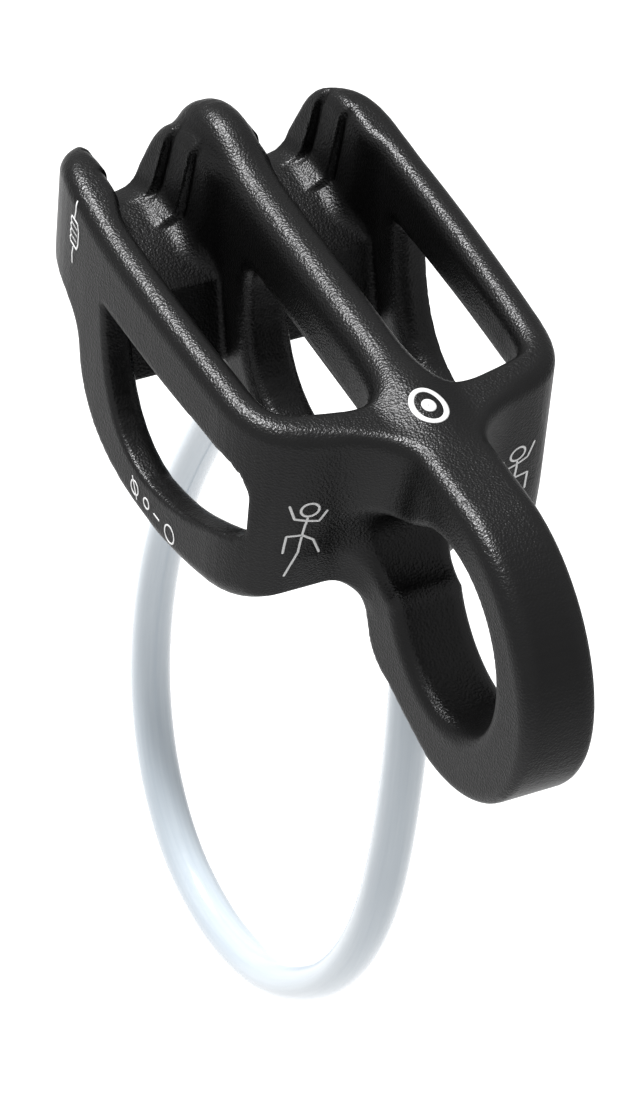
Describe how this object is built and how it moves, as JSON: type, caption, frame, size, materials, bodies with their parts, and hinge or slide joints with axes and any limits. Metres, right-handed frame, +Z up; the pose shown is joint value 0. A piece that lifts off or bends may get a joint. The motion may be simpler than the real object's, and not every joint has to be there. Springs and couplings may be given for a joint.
{
  "type": "rope descender",
  "caption": "Forged twin-slot tube-style rope descender with braking grooves, side windows, a keyhole anchor eye and a plastic-coated cable keeper loop.",
  "frame": {"origin": "centre of the anchor eye, in the middle of the eye plate's thickness", "axes": "+X across the two rope slots, +Y from the anchor eye towards the braking grooves, +Z up, out of the open side of the slots"},
  "size_m": [0.0388, 0.092, 0.1122],
  "materials": {
    "anodised_body": "black hard anodising over a fine bead-blasted forging",
    "sleeve_plastic": "smooth glossy extruded plastic, pale blue-white and slightly milky",
    "cable_steel": "bright stranded wire",
    "ferrule_steel": "plain turned steel"
  },
  "bodies": {
    "frame": {"body": "anodised_body", "groove_end_ferrule": "ferrule_steel", "eye_end_ferrule": "ferrule_steel"},
    "keeper": {"keeper_sleeve": "sleeve_plastic", "keeper_cable": "cable_steel"}
  },
  "joints": [
    {"name": "keeper_swing", "type": "hinge", "parent": "frame", "child": "keeper", "pos_m": [0, 0.0546, -0.0098], "axis": [0, 0.9821, 0.1882], "range_deg": [-40, 40], "stiffness_Nm_per_rad": 0.03}
  ]
}
